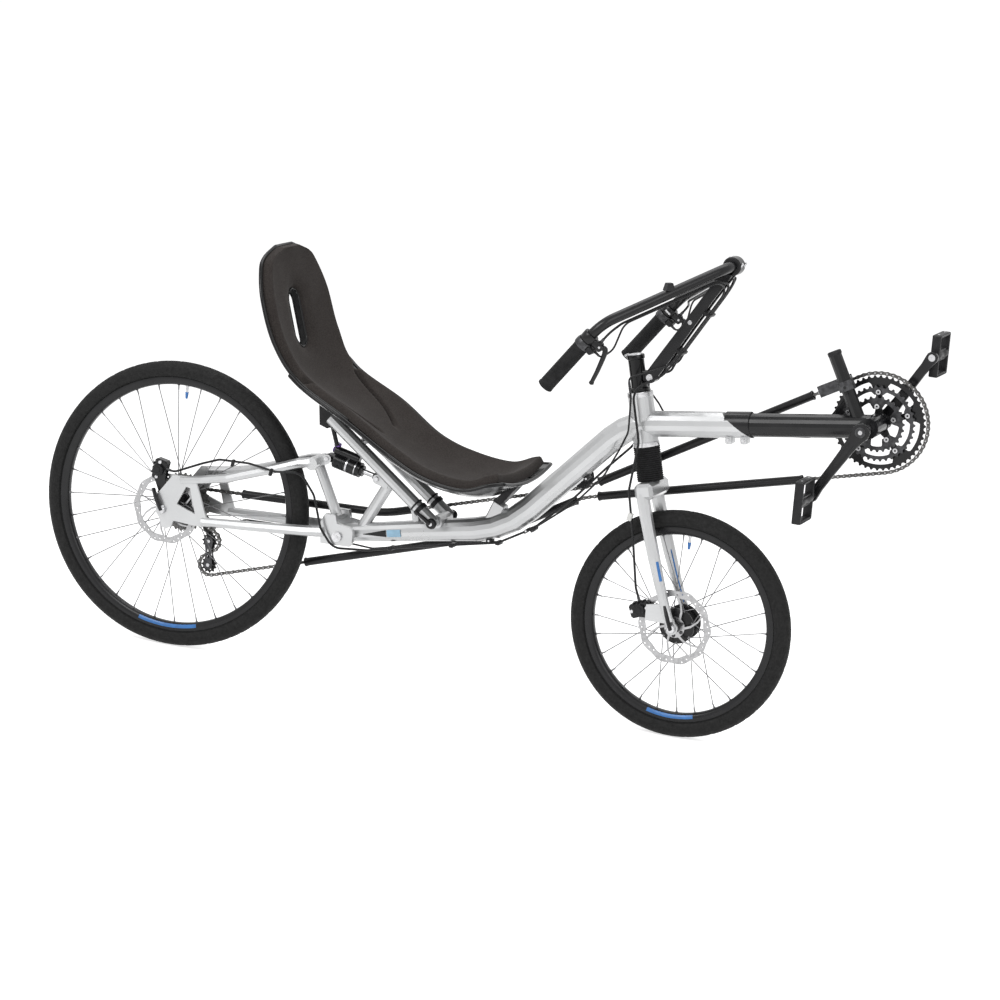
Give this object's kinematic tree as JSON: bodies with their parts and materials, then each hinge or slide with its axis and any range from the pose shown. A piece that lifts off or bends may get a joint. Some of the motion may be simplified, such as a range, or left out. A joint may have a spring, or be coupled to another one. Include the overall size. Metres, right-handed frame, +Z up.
{
  "type": "recumbent bicycle",
  "caption": "Short-wheelbase recumbent bicycle with a moulded seat, a bent main tube with a front boom, above-seat handlebar, sprung swingarm and disc brakes",
  "frame": {"origin": "the point where the rider's hips meet the seat, on the bicycle's middle plane, 560 mm ahead of the rear axle and 470 mm above the floor", "axes": "+X is forward, +Y to the rider's left, +Z up, with both tyres on the floor plane at Z = -0.470"},
  "size_m": [1.9735, 0.537, 1.0215],
  "materials": {
    "silver_paint": "satin",
    "black_paint": "satin",
    "bright_steel": "satin",
    "dark_steel": "satin",
    "black_plastic": "matte",
    "black_rubber": "matte",
    "tyre_rubber": "matte",
    "shell_gloss": "gloss",
    "seat_foam": "matte"
  },
  "bodies": {
    "frame": {"main_frame": "silver_paint", "shock": "black_paint", "boom": "black_paint", "swingarm": "silver_paint", "pivot_bolt": "bright_steel", "seat_struts": "silver_paint", "seat_shell_upper": "shell_gloss", "seat_shell_lower": "shell_gloss", "seat_pad_upper": "seat_foam", "seat_pad_lower": "seat_foam", "seat_bracket_rear": "black_plastic", "seat_bracket_front": "black_plastic", "rear_wheel_axle": "bright_steel", "chain_tube_pulling_front": "black_plastic", "chain_tube_pulling_rear": "black_plastic", "chain_tube_return_front": "black_plastic", "chain_tube_return_rear": "black_plastic", "chain": "dark_steel", "chain_idler": "black_plastic", "rear_derailleur": "dark_steel", "front_derailleur": "dark_steel", "rear_caliper": "black_paint"},
    "steering": {"front_wheel_axle": "bright_steel", "front_caliper": "black_paint", "fork": "silver_paint", "fork_boot": "black_rubber", "steering_riser": "silver_paint", "stem": "black_paint", "handlebar": "black_paint", "grip_near": "black_rubber", "grip_far": "black_rubber", "shifter_near": "dark_steel", "shifter_far": "dark_steel", "brake_lever_near": "black_paint", "brake_lever_far": "black_paint"},
    "rear_wheel": {"rear_wheel_tyre": "tyre_rubber", "rear_wheel_rim": "black_paint", "rear_wheel_hub_and_spokes": "bright_steel", "rear_wheel_disc": "bright_steel", "rear_wheel_cassette": "dark_steel"},
    "front_wheel": {"front_wheel_tyre": "tyre_rubber", "front_wheel_rim": "black_paint", "front_wheel_hub_and_spokes": "bright_steel", "front_wheel_disc": "bright_steel"},
    "crankset": {"crank_spindle": "bright_steel", "crank_arm_near": "black_paint", "crank_arm_far": "black_paint", "chainrings": "dark_steel"},
    "pedal_near": {"pedal_near": "black_plastic"},
    "pedal_far": {"pedal_far": "black_plastic"}
  },
  "joints": [
    {"name": "steering", "type": "hinge", "parent": "frame", "child": "steering", "pos_m": [0.51288, 0, 0.13706], "axis": [-0.2215, 0, 0.9751], "range_deg": [-35, 35]},
    {"name": "front_wheel_spin", "type": "hinge", "parent": "steering", "child": "front_wheel", "pos_m": [0.6215, 0, -0.227], "axis": [0, 1, 0], "continuous": true},
    {"name": "rear_wheel_spin", "type": "hinge", "parent": "frame", "child": "rear_wheel", "pos_m": [-0.56, 0, -0.1505], "axis": [0, 1, 0], "continuous": true},
    {"name": "crank_spin", "type": "hinge", "parent": "frame", "child": "crankset", "pos_m": [0.988, 0, 0.247], "axis": [0, 1, 0], "continuous": true},
    {"name": "pedal_near_spin", "type": "hinge", "parent": "crankset", "child": "pedal_near", "pos_m": [0.90022, -0.145, 0.10376], "axis": [0, 1, 0], "continuous": true},
    {"name": "pedal_far_spin", "type": "hinge", "parent": "crankset", "child": "pedal_far", "pos_m": [1.07578, 0.145, 0.39024], "axis": [0, 1, 0], "continuous": true}
  ]
}
